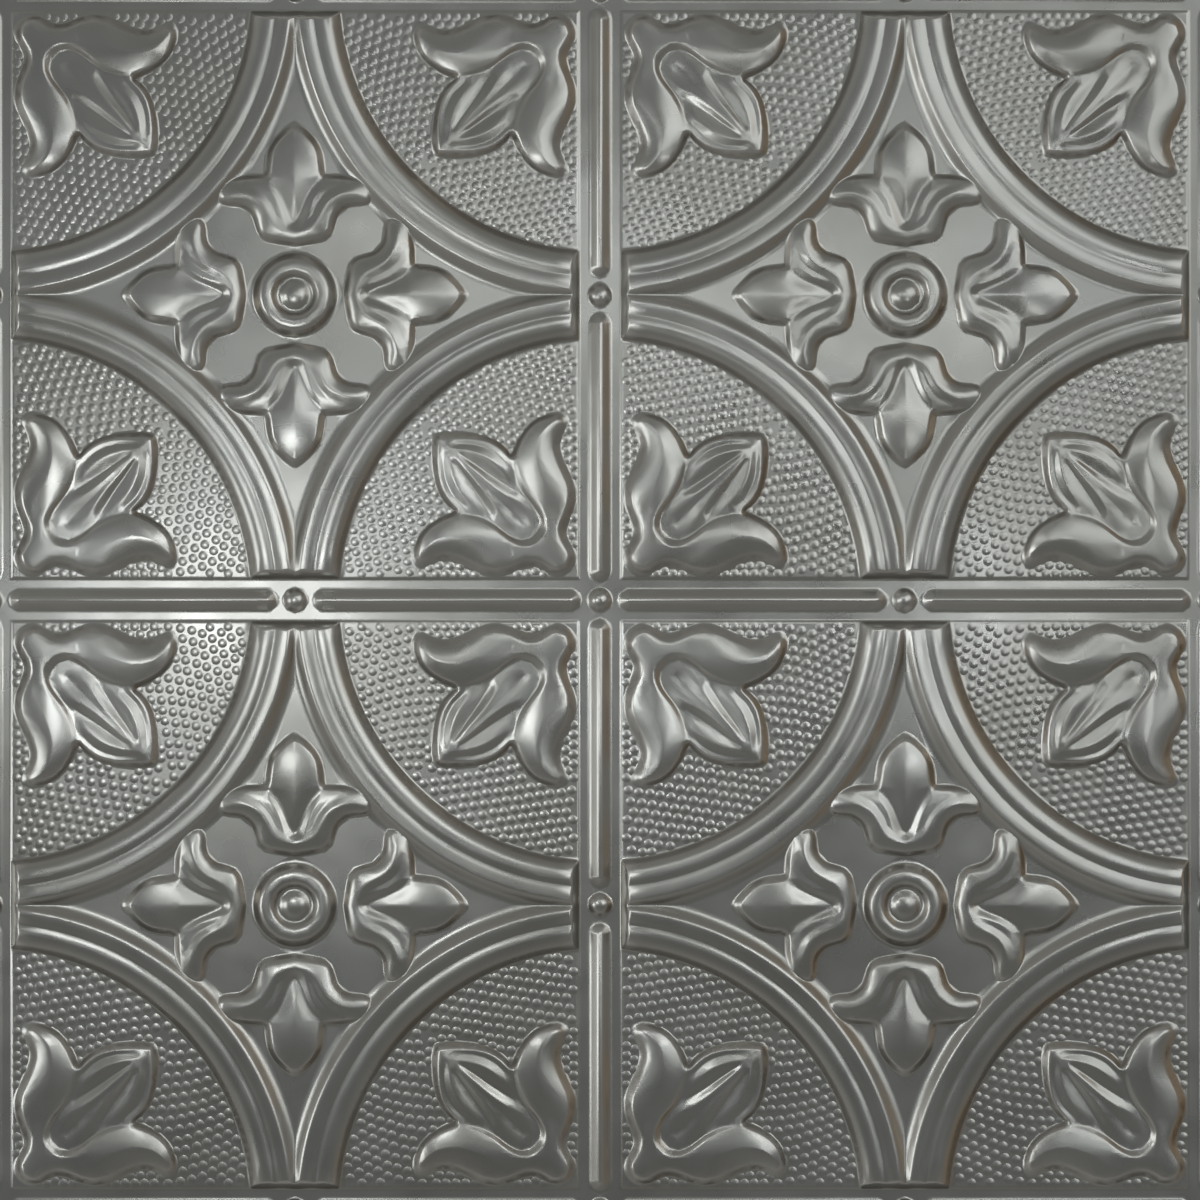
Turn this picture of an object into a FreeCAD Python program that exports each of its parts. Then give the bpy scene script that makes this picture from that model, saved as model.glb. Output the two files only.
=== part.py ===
import FreeCAD
import Part
import math
import os

# Pressed ceiling tile: one thin sheet drawn into relief over a die. The pattern is a square repeat,
# and one quarter of a repeat, mirrored about its sides, makes the whole sheet.

# Sheet
sheet_thickness = 0.3
pitch = 304.8
repeats = 2
edge_lap = 6.35

# Rails between the repeats, with bars and beads along their middles
bar_half_width = 6.0
bar_crest_half_width = 1.2
bar_rise = 3.0
bar_end_sides = 4
bead_radius = 6.0
bead_crown_radius = 2.6
bead_rise = 3.2
bead_sides = 8
bar_to_crossing = 8.75
bar_to_middle = 8.3
rail_half_width = 10.3
rail_wall_run = 4.0
rail_wall_rise = 6.4

# Stippled quarter disc round each crossing, and the arc moulding that frames it
disc_radius = 130.5
disc_level = 0.6
ovolo_crest_run = 6.4
ovolo_crest_level = 6.9
ovolo_width = 13.0
crease_level = 6.2
fillet_width = 7.5
fillet_level = 7.2
cove_width = 4.0
star_level = 3.0

# Rosette in the middle of each repeat
rosette_radius = 21.8
rosette_wall_run = 4.4
rosette_ring_width = 5.3
rosette_ring_rise = 4.8
rosette_ring_fall = 0.3
rosette_groove_radius = 8.8
rosette_groove_rise = 1.8
rosette_boss_radius = 3.4
rosette_boss_rise = 4.4
rosette_sides = 16

# Raised ornament: drafted pads, the leaves a little lower than the petals
fleur_rise = 4.2
fleur_wall_run = 3.8
leaf_rise = 3.4

half = pitch / 2
depth = 5 * (star_level + fleur_rise)
beyond = 2 * rail_half_width


def point(x, y, z=0.0):
    return FreeCAD.Vector(x, y, z)


def turned(profile, x, y, start, angle):
    # profile corners are radius and level; the outline is turned about an upright axis at x, y
    wire = Part.makePolygon([point(r, 0, level) for r, level in profile + profile[:1]])
    face = Part.Face(wire)
    face.rotate(point(0, 0), point(0, 0, 1), start)
    face.translate(point(x, y))
    return face.revolve(point(x, y), point(0, 0, 1), angle)


def ringed(rings, x, y, sides):
    # a turned form with few sides: rings of radius and level about an upright axis at x, y
    turn = 2 * math.pi / sides
    wires = []
    for radius, level in rings:
        ring = [(x + radius * math.cos(turn * i), y + radius * math.sin(turn * i)) for i in range(sides)]
        wires.append(outline_wire(ring, level))
    return ruled_solid(wires)


# Outlines of the raised ornament run from one point on the mirror line to the other
def mirrored_outline(side, swap):
    return side + [swap(corner) for corner in reversed(side[1:-1])]


def moved_in(outline, distance):
    # every side goes inward by the distance and stays parallel to itself
    count = len(outline)
    area = sum(outline[i - 1][0] * outline[i][1] - outline[i][0] * outline[i - 1][1] for i in range(count))
    step = math.copysign(distance, area * distance)
    moved = []
    for i, (x, y) in enumerate(outline):
        before = outline[i - 1]
        after = outline[(i + 1) % count]
        first = math.atan2(y - before[1], x - before[0])
        second = math.atan2(after[1] - y, after[0] - x)
        turn = math.atan2(math.sin(second - first), math.cos(second - first))
        along = first + turn / 2
        reach = step / math.cos(turn / 2)
        moved.append((x - reach * math.sin(along), y + reach * math.cos(along)))
    return moved


def outline_wire(outline, level):
    return Part.makePolygon([point(x, y, level) for x, y in outline + outline[:1]])


def ruled_solid(wires):
    # flat-sided solid through outlines of equally many corners, each at its own level
    faces = [Part.Face(wires[0]), Part.Face(wires[-1])]
    for lower, upper in zip(wires, wires[1:]):
        low = [v.Point for v in lower.OrderedVertexes]
        high = [v.Point for v in upper.OrderedVertexes]
        for i in range(len(low)):
            corners = [low[i - 1], low[i], high[i], high[i - 1], low[i - 1]]
            faces.append(Part.Face(Part.makePolygon(corners)))
    shell = Part.makeCompound(faces)
    shell.sewShape(1e-5)
    return Part.Solid(shell.Shells[0])


def raised_pad(outline, ground, rise):
    slope = fleur_wall_run / rise
    foot = outline_wire(moved_in(outline, -slope), ground - 1.0)
    shoulder = outline_wire(moved_in(outline, fleur_wall_run), ground + rise)
    return ruled_solid([foot, shoulder])


def swapped(corner):
    return (corner[1], corner[0])


def across_arm(corner):
    return (corner[0], -corner[1])


# Side petals that spring from one stem in the corner of a repeat, and the leaf between them
corner_petals = mirrored_outline([(13.6, 13.6), (21, 11.4), (33.5, 16.8), (48, 11.4), (57, 11.4), (77, 18.8),
                                  (92, 14.8), (96, 23), (87.4, 38), (70.6, 45.8), (47.6, 33.2), (31, 31)],
                                 swapped)
corner_leaf = mirrored_outline([(33, 33), (48, 33), (72.6, 46.4), (82.4, 58), (84.4, 84.4)], swapped)

# Lobes and centre petal that point out from the rosette, as distance along and across the star's arm
star_lobes = mirrored_outline([(23.4, 0), (25.4, 14), (31.4, 19.8), (41.6, 22.4), (45, 37.4), (52, 33.2),
                               (58.4, 24.6), (59.2, 14.6), (37, 0)], across_arm)
star_petal = mirrored_outline([(33, 0), (58, 15.2), (71, 14.4), (80.6, 8.6), (87.8, 0)], across_arm)


def arm_along_y(corner):
    return (half - corner[1], half - corner[0])


def arm_along_x(corner):
    return (half - corner[0], half - corner[1])


# Field inside the rails: quarter disc, arc moulding and star ground turned about the crossing
crease_radius = disc_radius + ovolo_width
fillet_radius = crease_radius + fillet_width
star_radius = fillet_radius + cove_width
far_radius = pitch + beyond
field_profile = [(0, -1), (0, disc_level), (disc_radius, disc_level),
                 (disc_radius + ovolo_crest_run, ovolo_crest_level), (crease_radius, crease_level),
                 (fillet_radius, fillet_level), (star_radius, star_level), (far_radius, star_level),
                 (far_radius, -1)]
field = turned(field_profile, 0, 0, -10, 110)

slope = rail_wall_run / rail_wall_rise
low = rail_half_width - slope
high = rail_half_width + slope * depth / 2
end = half + beyond
block_low = outline_wire([(low, low), (end, low), (end, end), (low, end)], -1)
block_high = outline_wire([(high, high), (end, high), (end, end), (high, end)], depth / 2)
field = field.common(Part.makeLoft([block_low, block_high], True, True))

# Rosette turned about the middle of the repeat
ring_outer = rosette_radius - rosette_wall_run
ring_inner = ring_outer - rosette_ring_width
ring_top = star_level + rosette_ring_rise
groove = star_level + rosette_groove_rise
boss = star_level + rosette_boss_rise
groove_rim = rosette_groove_radius
rosette_rings = [(rosette_radius + rosette_wall_run, star_level - rosette_ring_rise),
                 (ring_outer, ring_top - rosette_ring_fall), (ring_inner, ring_top), (groove_rim, groove),
                 (rosette_boss_radius, boss)]
rosette = ringed(rosette_rings, half, half, rosette_sides)


# Beads are low domes, and bars have sloping sides, a narrow crest and rounded ends
bead_slope = (bead_radius - bead_crown_radius) / bead_rise
bead_rings = [(bead_radius + bead_slope, -1), (bead_crown_radius, bead_rise)]


def bar_wire(half_width, first, last, level):
    corners = []
    for middle, start in ((last, -90), (first, 90)):
        for i in range(bar_end_sides + 1):
            angle = math.radians(start + 180 * i / bar_end_sides)
            corners.append((middle + half_width * math.cos(angle), half_width * math.sin(angle)))
    return outline_wire(corners, level)


first = bar_to_crossing + bar_half_width
last = half - bar_to_middle - bar_half_width
bar_slope = (bar_half_width - bar_crest_half_width) / bar_rise
bar_along_x = ruled_solid([bar_wire(bar_half_width + bar_slope, first, last, -1),
                           bar_wire(bar_crest_half_width, first, last, bar_rise)])
bar_along_y = bar_along_x.mirror(point(0, 0), point(1, -1))

# One quarter of a repeat: its solids stand on a block, and the block is trimmed to the quarter
block = Part.makeBox(half + 2 * beyond, half + 2 * beyond, depth, point(-beyond, -beyond, -depth))
solids = [field, rosette, bar_along_x, bar_along_y]
solids += [ringed(bead_rings, x, y, bead_sides) for x, y in ((0, 0), (half, 0), (0, half))]
solids.append(raised_pad(corner_petals, disc_level, fleur_rise))
solids.append(raised_pad(corner_leaf, disc_level, leaf_rise))
for arm in (arm_along_x, arm_along_y):
    solids.append(raised_pad([arm(corner) for corner in star_lobes], star_level, fleur_rise))
    solids.append(raised_pad([arm(corner) for corner in star_petal], star_level, leaf_rise))
quarter = block.fuse(solids)


def upper_faces(width, length):
    # faces of the relief over a width by length piece of the quarter, without the trimmed sides
    trim = Part.makeBox(width, length, 2 * depth, point(0, 0, -depth / 2))
    piece = quarter.common(trim)
    found = []
    for face in piece.Faces:
        box = face.BoundBox
        side_x = box.XLength < 1e-4 and (abs(box.XMin) < 1e-4 or abs(box.XMin - width) < 1e-4)
        side_y = box.YLength < 1e-4 and (abs(box.YMin) < 1e-4 or abs(box.YMin - length) < 1e-4)
        below = box.ZMax < -depth / 4
        if not (side_x or side_y or below):
            found.append(face)
    return found


whole = upper_faces(half, half)
strip_x = upper_faces(edge_lap, half)
strip_y = upper_faces(half, edge_lap)
patch = upper_faces(edge_lap, edge_lap)


# The upper skin of the sheet, quarter by quarter round every crossing
def placed(face, x, y, side_x, side_y):
    if side_x < 0:
        face = face.mirror(point(0, 0), point(1, 0))
    if side_y < 0:
        face = face.mirror(point(0, 0), point(0, 1))
    return face.translated(point(x, y))


upper = []
reach = repeats * pitch / 2
for i in range(repeats + 1):
    for j in range(repeats + 1):
        x = i * pitch - reach
        y = j * pitch - reach
        for side_x in (-1, 1):
            for side_y in (-1, 1):
                out_x = abs(x + side_x) > reach
                out_y = abs(y + side_y) > reach
                faces = whole
                if out_x and out_y:
                    faces = patch
                elif out_x:
                    faces = strip_x
                elif out_y:
                    faces = strip_y
                upper += [placed(face, x, y, side_x, side_y) for face in faces]

# The lower skin is the upper one a sheet thickness down, and the cut edge joins the two
down = point(0, 0, -sheet_thickness)
lower = [face.translated(down) for face in upper]
upper_skin = Part.makeCompound(upper)
upper_skin.sewShape(1e-4)
border = []
for edge in upper_skin.Edges:
    box = edge.BoundBox
    outer = reach + edge_lap
    on_x = box.XLength < 1e-4 and abs(abs(box.XMin) - outer) < 1e-4
    on_y = box.YLength < 1e-4 and abs(abs(box.YMin) - outer) < 1e-4
    if on_x or on_y:
        border.append(edge.extrude(down))
skin = Part.makeCompound(upper + lower + border)
skin.sewShape(1e-4)
shell = skin.Shells[0]
tile = Part.Solid(shell)
tile.translate(point(0, 0, sheet_thickness))

os.makedirs("parts", exist_ok=True)
tile.exportStep("parts/pressed_tile.step")
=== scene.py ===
# A square pressed tin ceiling tile, lying face up on a pale floor and seen from straight above.
import math

import bpy
import numpy as np
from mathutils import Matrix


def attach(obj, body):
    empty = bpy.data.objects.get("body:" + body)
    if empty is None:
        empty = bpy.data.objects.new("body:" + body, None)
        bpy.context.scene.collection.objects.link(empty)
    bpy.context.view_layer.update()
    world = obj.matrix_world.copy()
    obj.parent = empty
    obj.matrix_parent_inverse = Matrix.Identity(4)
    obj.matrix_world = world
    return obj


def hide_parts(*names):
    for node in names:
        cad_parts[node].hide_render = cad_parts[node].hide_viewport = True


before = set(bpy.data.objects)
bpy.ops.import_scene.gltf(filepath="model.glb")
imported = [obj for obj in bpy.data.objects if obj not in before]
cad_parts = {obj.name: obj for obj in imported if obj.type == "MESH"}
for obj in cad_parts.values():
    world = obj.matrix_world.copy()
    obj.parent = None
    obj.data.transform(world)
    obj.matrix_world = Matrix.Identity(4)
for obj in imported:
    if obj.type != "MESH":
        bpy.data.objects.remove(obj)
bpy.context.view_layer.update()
bpy.ops.object.select_all(action="DESELECT")

# The tile is one thin sheet of tinned steel, pressed cold between two dies into four like squares.
# Beaded rails frame each square, with an arc moulding round every corner and a rosette in its middle.
# It is nailed up through the bars and beads of its rails, and its edges lap those of the next tile.
pitch = 304.8
lap = 6.35
half = pitch / 2
sheet_thickness = 0.3
ground_level = 0.6
star_level = 3.0
step = 0.4
steps = round(half / step)
marks = np.arange(steps + 1) * step
u, v = np.meshgrid(marks, marks)


def smooth_line(points):
    """A smooth line through rows of numbers, as many close rows."""
    rows = np.array(points, float)
    rows = np.vstack([2 * rows[0] - rows[1], rows, 2 * rows[-1] - rows[-2]])
    part = np.linspace(0, 1, 60, endpoint=False)[:, None]
    spans = []
    for a, b, c, d in zip(rows, rows[1:], rows[2:], rows[3:]):
        bend = 2 * a - 5 * b + 4 * c - d
        twist = 3 * (b - c) + d - a
        spans.append(b + 0.5 * part * (c - a + part * (bend + part * twist)))
    spans.append(rows[-2:-1])
    return np.vstack(spans)


def profile(distance, points):
    """The level that a pressed profile has at each distance, smooth through its points."""
    curve = smooth_line(points)
    return np.interp(distance, curve[:, 0], curve[:, 1])


# A quarter of a square is worked out in millimetres from the crossing of two rails.
from_crossing = np.hypot(u, v)
level = profile(from_crossing, [
    (128, ground_level), (130.2, ground_level), (131.2, 1.7), (132.6, 3.7), (134.4, 5.3), (136.6, 6.4),
    (139.2, 6.9), (141.6, 6.75), (143.1, 6.3), (143.6, 6.15), (144.2, 6.5), (146.4, 7.05), (149, 7.3),
    (150.3, 7.3), (151.2, 6.95), (152.4, 5.9), (153.9, 4.6), (155.4, 3.6), (157, 3.1),
    (158.6, star_level), (161, star_level)])
level += profile(np.hypot(half - u, half - v), [
    (0, 4.5), (1.6, 4.42), (3.2, 4.15), (4.8, 3.6), (6.2, 2.75), (7.2, 2.0), (8.2, 1.75), (9.3, 2.2),
    (11.2, 4.3), (12.3, 4.85), (14.3, 5.05), (16.3, 4.85), (17.4, 4.3), (18.6, 3.1), (20.4, 0.7),
    (21.6, 0), (24, 0)])
edge_wall = [(8, 0), (10.2, 0), (11, 0.8), (12, 2.8), (13.2, 5.2), (14.3, 6.6), (15.2, 9), (16, 12)]
level = np.minimum(level, profile(u, edge_wall))
level = np.minimum(level, profile(v, edge_wall))

bar_start = 14.75
bar_end = half - 14.3
bar = [(0, 3.5), (0.7, 3.4), (1.5, 2.9), (3, 1.75), (4.6, 0.55), (5.5, 0.1), (6.3, 0), (8, 0)]
bead = [(0, 3.2), (1.2, 3.1), (2.4, 2.8), (3.6, 2.2), (4.8, 1.2), (5.6, 0.35), (6.2, 0), (8, 0)]
for along, across in ((u, v), (v, u)):
    from_bar = np.hypot(along - np.clip(along, bar_start, bar_end), across)
    level = np.maximum(level, profile(from_bar, bar))
    level = np.maximum(level, profile(np.hypot(along - half, across), bead))
level = np.maximum(level, profile(from_crossing, bead))


def within(outline):
    """Marks the points of the grid that lie inside a closed outline."""
    marked = np.zeros(u.shape, bool)
    for (u1, v1), (u2, v2) in zip(outline, np.roll(outline, -1, axis=0)):
        if v1 != v2:
            crossed = (v1 > v) != (v2 > v)
            marked ^= crossed & (u < u1 + (v - v1) * (u2 - u1) / (v2 - v1))
    return marked


# A fleur is drawn by the lines a die sinker cuts: its foot, its shoulder, its crests and its creases.
# Each line holds its own level, and the metal is stretched between the lines.
held = np.zeros(u.shape, bool)


def hold(points):
    """Holds the metal at a line of a fleur, and at that line's mirror image across the diagonal."""
    for a, b, z in smooth_line(points):
        i = min(max(round(a / step), 0), steps)
        j = min(max(round(b / step), 0), steps)
        held[j, i] = True
        held[i, j] = True
        level[j, i] = z
        level[i, j] = z


def from_middle(points):
    """Turns points measured from the rosette along and across an arm into points from the crossing."""
    rows = np.array(points, float)
    rows[:, :2] = half - rows[:, :2]
    return rows


petal_foot = [(14.6, 14.6), (17.4, 12.8), (20, 12.3), (23, 12.4), (26, 13.5), (30, 15.8), (33, 16.9),
              (36, 16.8), (40, 15.5), (45, 13.5), (50, 12.3), (55, 12.1), (60, 13.5), (65, 15.7),
              (70, 18), (75, 19.8), (79, 20), (83, 18.6), (87, 16.4), (90, 15.5), (92.2, 16.6),
              (93.6, 21), (93, 25), (91.7, 28.8), (89.5, 32.6), (86.6, 36.1), (82.7, 39.1), (78.8, 41.5),
              (75, 43.2), (72, 44.6)]
leaf_foot = [(72, 44.6), (75.6, 47), (78.8, 50.5), (81, 54.6), (82.3, 59), (83.3, 64), (83.8, 69),
             (84.1, 74), (83.9, 79), (83, 83)]
corner_foot = np.vstack([smooth_line(petal_foot)[::5, :2], smooth_line(leaf_foot)[::5, :2]])
corner_outline = np.vstack([corner_foot, corner_foot[::-1, ::-1]])

arm_foot = [(24.3, 0), (25.1, 5), (25.9, 10), (26.5, 13.3), (28.2, 16.4), (31.2, 18.6), (35.2, 19.8),
            (39.3, 21.2), (42.2, 23.5), (43.9, 26.7), (44.6, 30.5), (44.9, 34.4), (45.8, 36.8),
            (47.7, 38), (50, 37.3), (53.7, 35.2), (56.8, 31.9), (58.8, 27.8), (59.7, 23), (59.7, 18),
            (59.9, 15)]
arm_petal_foot = [(59.9, 15), (66, 14.5), (70.8, 13.6), (75.2, 11.8), (79.3, 8.9), (83, 5), (85.8, 2),
                  (87.4, 0)]
arm_half = np.vstack([smooth_line(arm_foot)[::5], smooth_line(arm_petal_foot)[::5]])
arm_outline = half - np.vstack([arm_half, [(87.4, -5), (24.3, -5)]])

fleurs = within(corner_outline) | within(arm_outline) | within(arm_outline[:, ::-1])

# Corner fleur: the petal's shoulder, rim, crest and inner edge, then the leaf's rim, ridges and rib.
hold([(17.8, 17.8, 4.4), (19.8, 16.6, 4.4), (22.6, 16.2, 4.4), (25.7, 17.6, 4.4), (29.8, 20.2, 4.5),
      (34, 21.2, 4.6), (38.2, 20.5, 4.5), (43, 18.3, 4.4), (48, 16.6, 4.4), (53, 16.1, 4.4),
      (57.8, 17, 4.4), (62.8, 19.3, 4.4), (69, 22.2, 4.4), (75, 23.8, 4.4), (80, 23.8, 4.3),
      (84, 22.7, 4.0), (88.2, 20.3, 3.5)])
hold([(88.2, 20.3, 3.5), (90.3, 21.2, 3.6), (90.3, 25, 3.9), (88.9, 29.8, 4.2), (85.9, 34, 4.5),
      (81.2, 37.5, 4.6), (76, 39.9, 4.7), (70, 41.4, 4.7), (64, 40.4, 4.7), (58, 38, 4.8),
      (53, 35.4, 4.9), (49, 32.3, 5.0), (45, 29.3, 5.1), (41, 27.4, 5.1), (37.6, 26.7, 5.1),
      (34, 27.1, 5.1), (31.4, 28.4, 5.1), (29.8, 29.8, 5.1)])
hold([(89.6, 21.6, 3.9), (88, 24.2, 4.8), (85.2, 27.4, 5.7), (81, 30.2, 6.3), (75, 31.6, 6.6),
      (69, 31.2, 6.6), (62, 28.9, 6.3), (55, 26.4, 5.8), (49, 24.6, 5.2), (44, 23.4, 4.7)])
hold([(68.8, 43.2, 3.9), (62, 42, 3.3), (57, 40.2, 3.1), (52.6, 37.8, 2.9), (48.6, 34.6, 2.7),
      (45, 31.9, 2.6), (41.6, 30.2, 2.6), (38.4, 29.8, 2.6), (35.2, 30.6, 2.6), (32.8, 32.8, 2.6)])
hold([(80.2, 80.2, 4.3), (80.8, 74, 4.1), (80.6, 68, 4.1), (80, 62, 4.1), (78.6, 56, 4.1),
      (75.8, 50.8, 4.1), (72.2, 46.8, 4.2), (69.6, 43.9, 4.2)])
hold([(77.4, 73, 4.2), (78, 66.5, 3.8), (77.2, 60.4, 3.6), (75.2, 55, 3.5), (71.8, 50, 3.5),
      (67.5, 46, 3.5)])
hold([(75.8, 73.6, 5.2), (75, 68, 5.4), (73.4, 61.5, 5.4), (70.4, 55, 5.1), (66.4, 50, 4.6),
      (61, 46.4, 3.8)])
hold([(72.4, 69.4, 4.8), (68, 62.8, 4.0), (63, 55.6, 3.5), (58.6, 48.6, 3.1), (54.6, 42.4, 2.8)])
hold([(77, 77, 5.0), (70, 70, 5.5), (62, 62, 5.3), (55, 55, 4.7), (50, 50, 4.0), (44, 44, 2.9),
      (38, 38, 2.2)])
hold([(73, 72, 5.5), (68.6, 67, 5.8), (63.6, 61.2, 5.7), (58, 54.8, 5.3), (53.4, 48.6, 4.7),
      (50, 42.6, 4.0), (47.8, 37.4, 3.3)])

# Star fleur: the shoulder of a lobe and of the petal, the lobe's two folds and the petal's crest.
hold(from_middle([(26.8, 0, 5.8), (27.7, 5, 6.0), (28.5, 10, 6.0), (29.4, 13.3, 6.0), (31.6, 16.6, 6.0),
                  (36.2, 18.1, 6.0), (40.3, 19.5, 6.0), (43.4, 21.9, 6.0), (45.6, 25.2, 6.0),
                  (46.6, 29, 6.0), (46.9, 33.2, 6.0), (48.4, 36.1, 6.0), (51.4, 35.4, 6.0),
                  (54.8, 31.8, 6.0), (56.6, 26.5, 6.0), (57.1, 21.2, 6.0), (57, 16.4, 5.9),
                  (57.2, 13.2, 5.6)]))
hold(from_middle([(57.2, 13.2, 5.6), (59.6, 12, 6.0), (64, 11.5, 6.2), (70, 10.8, 6.2), (74.7, 8.8, 6.2),
                  (78.6, 5.2, 6.1), (81.2, 2, 6.0), (82, 0, 6.0)]))
hold(from_middle([(31.4, 0, 6.9), (31.8, 4, 7.1), (33.2, 8.4, 7.5), (37.6, 11.6, 7.8), (42.8, 13.8, 8.0),
                  (46.8, 16.8, 8.1), (49.4, 21, 8.1), (50.9, 26, 7.9), (51, 31.4, 7.1)]))
hold(from_middle([(36, 6.8, 6.6), (40, 9, 6.4), (45, 11.4, 6.4), (49.4, 14.8, 6.5), (52.4, 19.4, 6.6),
                  (53.6, 25, 6.6)]))
hold(from_middle([(36.6, 4.6, 6.4), (41, 6.4, 6.9), (46.6, 8.6, 7.0), (51, 11.2, 6.9), (53.6, 14.4, 6.6)]))
hold(from_middle([(34.6, 0, 4.4), (37.4, 2, 4.4), (42, 4, 4.8), (48, 6.2, 5.1), (53, 8.8, 5.3),
                  (56, 11.2, 5.4)]))
hold(from_middle([(38, 0, 4.9), (42, 0, 5.7), (48, 0, 6.8), (56, 0, 7.5), (66, 0, 7.6), (74, 0, 7.1),
                  (79, 0, 6.4)]))

free = fleurs & ~held
checker = np.add.outer(np.arange(steps + 1), np.arange(steps + 1)) % 2 == 0
swell = 0.025
sweeps = 240
overshoot = 1.85
for sweep in range(sweeps):
    for squares in (free & checker, free & ~checker):
        wide = np.pad(level, 1, mode="reflect")
        around = wide[2:, 1:-1] + wide[:-2, 1:-1] + wide[1:-1, 2:] + wide[1:-1, :-2]
        pull = (around + swell * step * step) / 4 - level
        level[squares] += overshoot * pull[squares]


def eased(field, turns):
    """A field of the quarter with its sharp changes rounded off."""
    for turn in range(turns):
        wide = np.pad(field, 1, mode="reflect")
        rows_eased = (wide[2:] + 2 * wide[1:-1] + wide[:-2]) / 4
        field = (rows_eased[:, 2:] + 2 * rows_eased[:, 1:-1] + rows_eased[:, :-2]) / 4
    return field


# Every bend of the sheet is rounded, as metal is when it is drawn over the edge of a die.
# The lobes of the star are rounder than the rest.
lobe_reach = 57
sheet_easing = 3
lobe_easing = 12
lobe_border = 20
lobes = fleurs & (np.maximum(half - u, half - v) < lobe_reach)
soft = np.clip(eased(lobes.astype(float), lobe_border) * 2 - 1, 0, 1)
level = eased(level, sheet_easing)
level += (eased(level, lobe_easing) - level) * soft

wide = np.pad(level, 1, mode="reflect")
slope_u = (wide[1:-1, 2:] - wide[1:-1, :-2]) / (2 * step)
slope_v = (wide[2:, 1:-1] - wide[:-2, 1:-1]) / (2 * step)
bend = (wide[2:, 1:-1] + wide[:-2, 1:-1] + wide[1:-1, 2:] + wide[1:-1, :-2] - 4 * level) / step ** 2


def sampled(field, x, y):
    """Reads a field of the quarter at places in metres anywhere on the tile."""
    across = np.clip(np.abs(x * 1000 - pitch * np.rint(x * 1000 / pitch)) / step, 0, steps - 0.001)
    along = np.clip(np.abs(y * 1000 - pitch * np.rint(y * 1000 / pitch)) / step, 0, steps - 0.001)
    i = across.astype(int)
    j = along.astype(int)
    p = across - i
    q = along - j
    low = field[j, i] * (1 - p) + field[j, i + 1] * p
    high = field[j + 1, i] * (1 - p) + field[j + 1, i + 1] * p
    return low * (1 - q) + high * q


def corners_of(mesh):
    """The places of a mesh's vertices as rows."""
    places = np.empty(len(mesh.vertices) * 3)
    mesh.vertices.foreach_get("co", places)
    return places.reshape(-1, 3)


bpy.ops.mesh.primitive_grid_add(
    x_subdivisions=steps, y_subdivisions=steps, size=half / 1000, location=(half / 2000, half / 2000, 0))
sheet = bpy.context.object
sheet.name = "pressed_sheet"
sheet.data.name = "pressed_sheet"
bpy.ops.object.transform_apply(location=True, rotation=True, scale=True)
places = corners_of(sheet.data)
places[:, 2] = (sheet_thickness + sampled(level, places[:, 0], places[:, 1])) / 1000
sheet.data.vertices.foreach_set("co", places.ravel())

# The mesh is thinned where the metal is plain, and the beads keep more corners so that they stay round.
wanted_triangles = 5850
bead_reach = 6.6
snap = 0.00005
weld = 0.00001
near_bead = np.zeros(len(places), bool)
for spot in ((0, 0), (half, 0), (0, half)):
    near_bead |= np.hypot(*(places[:, :2] * 1000 - spot).T) < bead_reach
beads = sheet.vertex_groups.new(name="beads")
beads.add(np.nonzero(near_bead)[0].tolist(), 0.9, "REPLACE")
thin_out = sheet.modifiers.new("thin_out", "DECIMATE")
thin_out.ratio = wanted_triangles / (2 * steps * steps)
thin_out.vertex_group = beads.name
thin_out.invert_vertex_group = True
thin_out.vertex_group_factor = 0.0001
bpy.ops.object.modifier_apply(modifier="thin_out")
sheet.vertex_groups.clear()
places = corners_of(sheet.data)
for side in (0, 1):
    places[np.abs(places[:, side]) < snap, side] = 0
    places[np.abs(places[:, side] - half / 1000) < snap, side] = half / 1000
sheet.data.vertices.foreach_set("co", places.ravel())

mirrored = sheet.modifiers.new("mirrored", "MIRROR")
mirrored.use_axis = (True, True, False)
mirrored.merge_threshold = weld
bpy.ops.object.modifier_apply(modifier="mirrored")
for way, offset in (("across", (pitch / 1000, 0, 0)), ("along", (0, pitch / 1000, 0))):
    repeat = sheet.modifiers.new(way, "ARRAY")
    repeat.count = 3
    repeat.use_relative_offset = False
    repeat.use_constant_offset = True
    repeat.constant_offset_displace = offset
    repeat.use_merge_vertices = True
    repeat.merge_threshold = weld
    bpy.ops.object.modifier_apply(modifier=way)
bpy.ops.object.mode_set(mode="EDIT")
bpy.ops.mesh.select_all(action="SELECT")
bpy.ops.transform.translate(value=(-pitch / 1000, -pitch / 1000, 0))
edge = (pitch + lap) / 1000
for outward in ((1, 0, 0), (-1, 0, 0), (0, 1, 0), (0, -1, 0)):
    bpy.ops.mesh.select_all(action="SELECT")
    bpy.ops.mesh.bisect(plane_co=[edge * part for part in outward], plane_no=outward, clear_outer=True)
bpy.ops.mesh.select_all(action="SELECT")
bpy.ops.mesh.normals_make_consistent(inside=False)
bpy.ops.object.mode_set(mode="OBJECT")
thicken = sheet.modifiers.new("thicken", "SOLIDIFY")
thicken.thickness = sheet_thickness / 1000
thicken.offset = -1
bpy.ops.object.modifier_apply(modifier="thicken")
bpy.ops.object.shade_smooth()


def signed(x):
    """Which side of its nearest rail a place in metres lies on."""
    return np.sign(x * 1000 - pitch * np.rint(x * 1000 / pitch))


def by_corner(mesh, part, name, size):
    """Reads a number or vector of a mesh's faces, once for each corner of each face."""
    values = np.empty(len(mesh.polygons) * size)
    part.foreach_get(name, values)
    lengths = np.empty(len(mesh.polygons), int)
    mesh.polygons.foreach_get("loop_total", lengths)
    return np.repeat(values.reshape(-1, size), lengths, axis=0)


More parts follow.
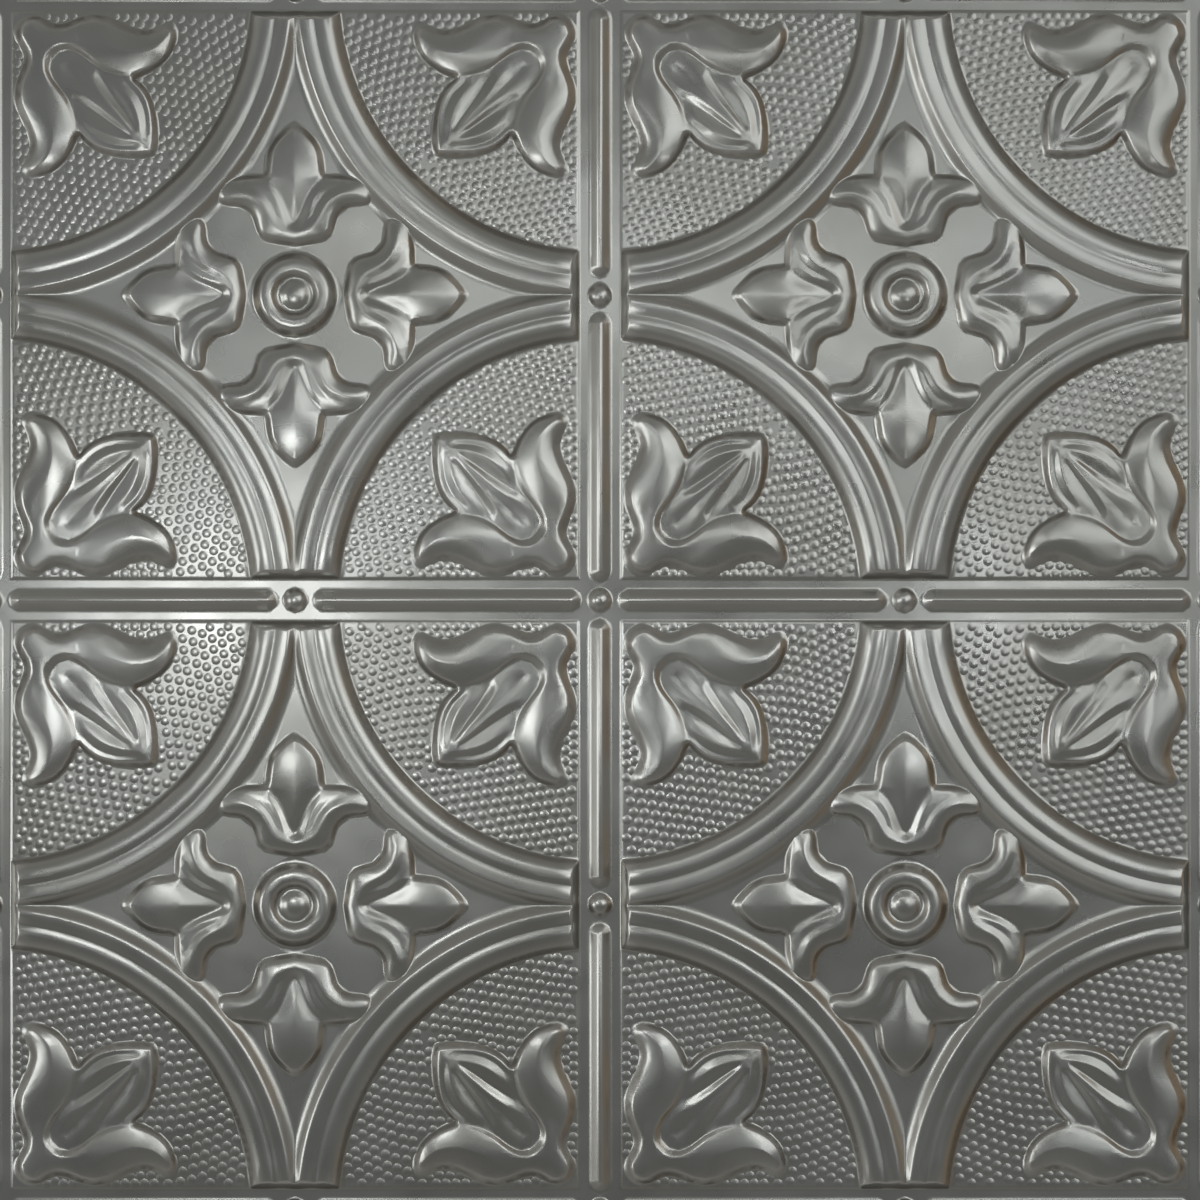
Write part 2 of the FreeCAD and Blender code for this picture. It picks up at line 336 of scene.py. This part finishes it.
owners = np.empty(len(sheet.data.loops), int)
sheet.data.loops.foreach_get("vertex_index", owners)
facing = by_corner(sheet.data, sheet.data.polygons, "normal", 3)
middle = by_corner(sheet.data, sheet.data.polygons, "center", 3)
corner = corners_of(sheet.data)[owners]


def relief_normals(spots):
    """The way the relief faces at places in metres."""
    lean_x = sampled(slope_u, spots[:, 0], spots[:, 1]) * signed(spots[:, 0])
    lean_y = sampled(slope_v, spots[:, 0], spots[:, 1]) * signed(spots[:, 1])
    ways = np.column_stack([-lean_x, -lean_y, np.ones(len(spots))])
    return ways / np.linalg.norm(ways, axis=1)[:, None]


# Round bends are shaded smoothly, and where a face of a fleur turns off sharply it keeps its own tilt.
normals = relief_normals(corner)
inner = relief_normals(corner + 0.35 * (middle - corner))
turn_off = np.linalg.norm(inner - normals, axis=1)
folded = np.clip(turn_off * 7 - 0.6, 0, 1) * sampled(fleurs, middle[:, 0], middle[:, 1])
normals += (inner - normals) * folded[:, None]
steep = np.hypot(
    sampled(slope_u, middle[:, 0], middle[:, 1]), sampled(slope_v, middle[:, 0], middle[:, 1]))
normals[(steep < 0.02) & (np.abs(facing[:, 2]) > 0.998)] = (0, 0, 1)
normals *= np.sign(facing[:, 2:])
cut_edge = np.abs(facing[:, 2]) < 0.2
normals[cut_edge] = facing[cut_edge]
sheet.data.normals_split_custom_set(normals)

places = corners_of(sheet.data)
bends = sampled(bend, places[:, 0], places[:, 1])
steep = np.hypot(
    sampled(slope_u, places[:, 0], places[:, 1]), sampled(slope_v, places[:, 0], places[:, 1]))
# Crests and other convex bends are painted lighter: partly wear, partly a painted highlight along the
# crests.
wear_and_highlight = sheet.data.attributes.new("wear_and_highlight", "FLOAT", "POINT")
wear_and_highlight.data.foreach_set("value", np.clip(-bends * 0.9, 0, 1))
# Steep walls are painted darker and browner: partly grime, partly painted shade on the walls.
dirt_and_shade = sheet.data.attributes.new("dirt_and_shade", "FLOAT", "POINT")
dirt_and_shade.data.foreach_set("value", np.clip(steep * 1.6 - 0.7, 0, 1))
facing_side = -sampled(slope_u, places[:, 0], places[:, 1]) * signed(places[:, 0])
rust = sheet.data.attributes.new("rust", "FLOAT", "POINT")
rust.data.foreach_set("value", np.clip(facing_side * 2 - 0.6, 0, 1) * np.clip(3 - steep * 2, 0.3, 1))

tin = bpy.data.materials.new("dull_tin")
tin.use_nodes = True
nodes = tin.node_tree.nodes
links = tin.node_tree.links
shader = nodes["Principled BSDF"]
shader.inputs["Metallic"].default_value = 0.9
shader.inputs["Coat Weight"].default_value = 0.4
shader.inputs["Coat Roughness"].default_value = 0.12
where = nodes.new("ShaderNodeTexCoord")


def noise(scale, detail):
    """A cloud over the sheet, with so many lumps to the metre."""
    cloud = nodes.new("ShaderNodeTexNoise")
    cloud.inputs["Scale"].default_value = scale
    cloud.inputs["Detail"].default_value = detail
    links.new(where.outputs["Object"], cloud.inputs["Vector"])
    return cloud.outputs["Fac"]


def ranged(source, low, high, to_low, to_high):
    """Carries a value from one range to another, held at the ends."""
    carry = nodes.new("ShaderNodeMapRange")
    carry.inputs["From Min"].default_value = low
    carry.inputs["From Max"].default_value = high
    carry.inputs["To Min"].default_value = to_low
    carry.inputs["To Max"].default_value = to_high
    links.new(source, carry.inputs["Value"])
    return carry.outputs["Result"]


def marked(name):
    """A mark that the mesh carries at its vertices."""
    mark = nodes.new("ShaderNodeAttribute")
    mark.attribute_name = name
    return mark.outputs["Fac"]


def mixed(share, first, second):
    """Blends two colours, each a written colour or the result of another blend."""
    blend = nodes.new("ShaderNodeMix")
    blend.data_type = "RGBA"
    links.new(share, blend.inputs["Factor"])
    for place, colour in ((6, first), (7, second)):
        if isinstance(colour, tuple):
            blend.inputs[place].default_value = colour
        else:
            links.new(colour, blend.inputs[place])
    return blend.outputs[2]


def product(first, second):
    """Multiplies two values."""
    times = nodes.new("ShaderNodeMath")
    times.operation = "MULTIPLY"
    links.new(first, times.inputs[0])
    links.new(second, times.inputs[1])
    return times.outputs["Value"]


# Brown rust has crept along the walls that face one side of the tile, most of it towards that side.
sides = nodes.new("ShaderNodeSeparateXYZ")
links.new(where.outputs["Object"], sides.inputs["Vector"])
patches = product(ranged(noise(14, 2), 0.4, 0.56, 0, 1), ranged(sides.outputs["X"], -0.2, 0.28, 0.2, 0.7))
dull_grey = (0.283, 0.29, 0.272, 1)
pale_grey = (0.327, 0.338, 0.325, 1)
# The brown on steep walls and bump rims is partly grime and partly painted shade.
dirt_and_shade_brown = (0.26, 0.23, 0.195, 1)
# The pale grey on crests and bump tops is partly wear and partly a painted highlight.
wear_and_highlight_bright = (0.44, 0.44, 0.425, 1)
rust_brown = (0.36, 0.25, 0.135, 1)
clouded = mixed(ranged(noise(9, 4), 0.35, 0.68, 0, 1), dull_grey, pale_grey)
dirtied_and_shaded = mixed(ranged(marked("dirt_and_shade"), 0.1, 1, 0, 0.5), clouded, dirt_and_shade_brown)
worn_and_highlighted = mixed(ranged(marked("wear_and_highlight"), 0.15, 1, 0, 0.8), dirtied_and_shaded, wear_and_highlight_bright)
rusted = mixed(product(marked("rust"), patches), worn_and_highlighted, rust_brown)
links.new(rusted, shader.inputs["Base Color"])
links.new(ranged(noise(40, 1), 0.3, 0.7, 0.26, 0.33), shader.inputs["Roughness"])
buckle = nodes.new("ShaderNodeBump")
buckle.inputs["Strength"].default_value = 1
buckle.inputs["Distance"].default_value = 0.0006
links.new(noise(22, 2), buckle.inputs["Height"])
links.new(buckle.outputs["Normal"], shader.inputs["Normal"])
sheet.data.materials.append(tin)
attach(sheet, "root")
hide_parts("pressed_tile")

# The ground inside each arc is stippled with low round bumps, punched into the same sheet in bent rows.
# The rows are alike in every quarter, mirrored about its diagonal and about the rails.
bump_radius = 2.5
bump_rise = 0.37
bump_sides = 12
bump_foot = 0.03
bump_gap = 4.3
uneven = 0.3
rail_edge = 13.3
ground_radius = 129.4
fleur_gap = 0.9
diagonal_gap = 2.4
search_step = 0.7
chance = np.random.default_rng(7)
spots = []
for column in range(-5, 9):
    for row in range(-6, 12):
        a = 109.2 + 0.86 * row - 5.25 * column + chance.uniform(-uneven, uneven)
        b = 38.8 + 5.44 * row - 1.84 * column + 0.158 * column * column + chance.uniform(-uneven, uneven)
        if (a - b) / math.sqrt(2) > diagonal_gap and b > rail_edge:
            spots.append((a, b))


def open_ground(a, b):
    """True where the middle of a bump stands clear of the moulding and the fleurs."""
    if math.hypot(a, b) > ground_radius:
        return False
    for turn in range(8):
        i = round((a + fleur_gap * math.cos(turn * math.pi / 4)) / step)
        j = round((b + fleur_gap * math.sin(turn * math.pi / 4)) / step)
        if fleurs[j, i]:
            return False
    return True


spots = [(a, b) for a, b in spots if open_ground(a, b)]
spots += [(b, a) for a, b in spots]

# Odd bumps stand where the rows leave a bare place.
for a in np.arange(14, 131, search_step):
    for b in np.arange(rail_edge, a + 0.01, search_step):
        if a - b < 3.4:
            b = a
        if open_ground(a, b) and np.hypot(*(np.array(spots) - (a, b)).T).min() > bump_gap:
            spots.append((a, b))
            if a != b:
                spots.append((b, a))
bpy.ops.object.select_all(action="DESELECT")
bpy.ops.mesh.primitive_circle_add(vertices=bump_sides, radius=bump_radius / 1000, fill_type="NGON")
bump = bpy.context.object
bpy.ops.object.mode_set(mode="EDIT")
bpy.ops.mesh.select_all(action="SELECT")
rise_so_far = 0
out_so_far = 1
for out in (0.85, 0.6, 0.3):
    rise = bump_rise * (1 - out * out)
    bpy.ops.mesh.extrude_region_move(TRANSFORM_OT_translate={"value": (0, 0, (rise - rise_so_far) / 1000)})
    bpy.ops.transform.resize(value=(out / out_so_far, out / out_so_far, 1))
    rise_so_far = rise
    out_so_far = out
bpy.ops.mesh.poke(offset=(bump_rise - rise_so_far) / 1000)
bpy.ops.mesh.select_all(action="SELECT")
bpy.ops.mesh.normals_make_consistent(inside=False)
bpy.ops.object.mode_set(mode="OBJECT")
one = corners_of(bump.data)
one_faces = [list(face.vertices) for face in bump.data.polygons]
one_out = np.hypot(one[:, 0], one[:, 1]) * 1000 / bump_radius
one_lean = 2 * bump_rise / bump_radius * one_out
one_way = one[:, :2] / np.maximum(np.hypot(one[:, 0], one[:, 1]), 0.00001)[:, None]
one_normals = np.column_stack([one_way * one_lean[:, None], np.ones(len(one))])
one_normals /= np.linalg.norm(one_normals, axis=1)[:, None]
bpy.ops.object.delete()

ground = (sheet_thickness + ground_level - bump_foot) / 1000
for square, (middle_x, middle_y) in enumerate([(-half, half), (half, half), (-half, -half), (half, -half)]):
    middles = []
    for side_x in (-1, 1):
        for side_y in (-1, 1):
            for a, b in spots:
                middles.append((middle_x + side_x * (half - a), middle_y + side_y * (half - b)))
    middles = np.column_stack([np.array(middles) / 1000, np.full(len(middles), ground)])
    mesh = bpy.data.meshes.new("stipple_%d" % (square + 1))
    mesh.from_pydata(
        (one[None] + middles[:, None]).reshape(-1, 3).tolist(), [],
        [[n + len(one) * copy for n in face] for copy in range(len(middles)) for face in one_faces])
    stipple = bpy.data.objects.new(mesh.name, mesh)
    bpy.context.collection.objects.link(stipple)
    mesh.shade_smooth()
    owners = np.empty(len(mesh.loops), int)
    mesh.loops.foreach_get("vertex_index", owners)
    facing = by_corner(mesh, mesh.polygons, "normal", 3)
    normals = np.tile(one_normals, (len(middles), 1))[owners]
    normals[facing[:, 2] < 0] = (0, 0, -1)
    mesh.normals_split_custom_set(normals)
    # The top of each bump is painted lighter: a painted highlight, with some wear on it.
    wear_and_highlight = mesh.attributes.new("wear_and_highlight", "FLOAT", "POINT")
    wear_and_highlight.data.foreach_set("value", np.tile(np.clip(0.45 - one_out, 0, 1), len(middles)))
    # The rim of each bump is painted darker: a painted shade, with a little dirt.
    dirt_and_shade = mesh.attributes.new("dirt_and_shade", "FLOAT", "POINT")
    dirt_and_shade.data.foreach_set("value", np.tile(np.clip(one_out - 0.6, 0, 1), len(middles)))
    mesh.materials.append(tin)
    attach(stipple, "root")

# The floor is a wide plain sheet of matt pale board, and the tile lies on it.
# It carries the tile's shadow and is no part of the tile.
bpy.ops.object.select_all(action="DESELECT")
bpy.ops.mesh.primitive_plane_add(size=40, location=(0, 0, -0.0003))
floor = bpy.context.object
floor.name = "floor"
board = bpy.data.materials.new("pale_board")
board.use_nodes = True
board.node_tree.nodes["Principled BSDF"].inputs["Base Color"].default_value = (0.78, 0.77, 0.75, 1)
board.node_tree.nodes["Principled BSDF"].inputs["Roughness"].default_value = 0.9
floor.data.materials.append(board)

# The light is that of a grey room, darker overhead on the near side: a big pale panel up on the right,
# a window low on the left, and small lamps and shades hung not far above the tile.
world = bpy.data.worlds.new("room")
world.use_nodes = True
bpy.context.scene.world = world
room_nodes = world.node_tree.nodes
room_links = world.node_tree.links
room = room_nodes["Background"]
direction = room_nodes.new("ShaderNodeTexCoord")
parts = room_nodes.new("ShaderNodeSeparateXYZ")
fade = room_nodes.new("ShaderNodeValToRGB")
fade.color_ramp.elements.remove(fade.color_ramp.elements[1])
fade.color_ramp.elements[0].color = (0.24, 0.225, 0.21, 1)
for position, colour in (
    (0.37, (0.145, 0.145, 0.143, 1)),
    (0.63, (0.305, 0.307, 0.305, 1)),
    (1, (0.3, 0.292, 0.28, 1)),
):
    fade.color_ramp.elements.new(position).color = colour
shift = room_nodes.new("ShaderNodeMath")
shift.inputs[1].default_value = 0.5
room_links.new(direction.outputs["Generated"], parts.inputs["Vector"])
room_links.new(parts.outputs["Y"], shift.inputs[0])
room_links.new(shift.outputs["Value"], fade.inputs["Fac"])
low = room_nodes.new("ShaderNodeMapRange")
low.inputs["From Min"].default_value = 0.8
low.inputs["From Max"].default_value = 0.3
room_links.new(parts.outputs["Z"], low.inputs["Value"])
side = room_nodes.new("ShaderNodeValToRGB")
side.color_ramp.elements[0].color = (0.45, 0.44, 0.42, 1)
side.color_ramp.elements[1].color = (0.33, 0.315, 0.295, 1)
lean = room_nodes.new("ShaderNodeMath")
lean.inputs[1].default_value = 0.5
room_links.new(parts.outputs["X"], lean.inputs[0])
room_links.new(lean.outputs["Value"], side.inputs["Fac"])
blend = room_nodes.new("ShaderNodeMix")
blend.data_type = "RGBA"
room_links.new(side.outputs["Color"], blend.inputs[7])
room_links.new(low.outputs["Result"], blend.inputs["Factor"])
room_links.new(fade.outputs["Color"], blend.inputs[6])
room_links.new(blend.outputs[2], room.inputs["Color"])
for name, place, wide, tall, glow in (
    ("ceiling_panel", (1.4, 0.8, 2.0), 1.5, 2.0, 1.45),
    ("left_window", (-1.5, -0.15, 1.0), 0.7, 0.7, 3.3),
    ("left_lamp", (-0.216, 0.0, 0.48), 0.1, 0.16, 5.8),
    ("left_shade", (-0.2, 0.0, 0.5), 0.36, 0.36, 0.3),
    ("right_lamp", (0.25, 0.0, 0.5), 0.08, 0.1, 4.2),
    ("far_lamp", (0.03, 0.186, 0.5), 0.42, 0.07, 2.2),
    ("corner_lamp", (0.25, 0.25, 0.5), 0.2, 0.2, 0.5),
):
    bpy.ops.object.light_add(type="AREA", location=place)
    lamp = bpy.context.object
    lamp.name = name
    lamp.data.shape = "RECTANGLE"
    lamp.data.size = wide
    lamp.data.size_y = tall
    lamp.data.energy = glow * math.pi * wide * tall
    lamp.visible_camera = False
    away = math.hypot(place[0], place[1])
    lamp.rotation_euler = (math.atan2(away, place[2]), 0, math.atan2(place[0], -place[1]))

# The camera hangs over the middle of the tile and takes in just less than its outer rails.
height = 3.0
mid_relief = 0.003
seen_width = 0.5994
bpy.ops.object.camera_add(location=(0, 0, height), rotation=(0, 0, 0))
camera = bpy.context.object
camera.data.sensor_width = 36
camera.data.lens = camera.data.sensor_width * (height - mid_relief) / seen_width
bpy.context.scene.camera = camera
bpy.context.scene.view_settings.view_transform = "Standard"
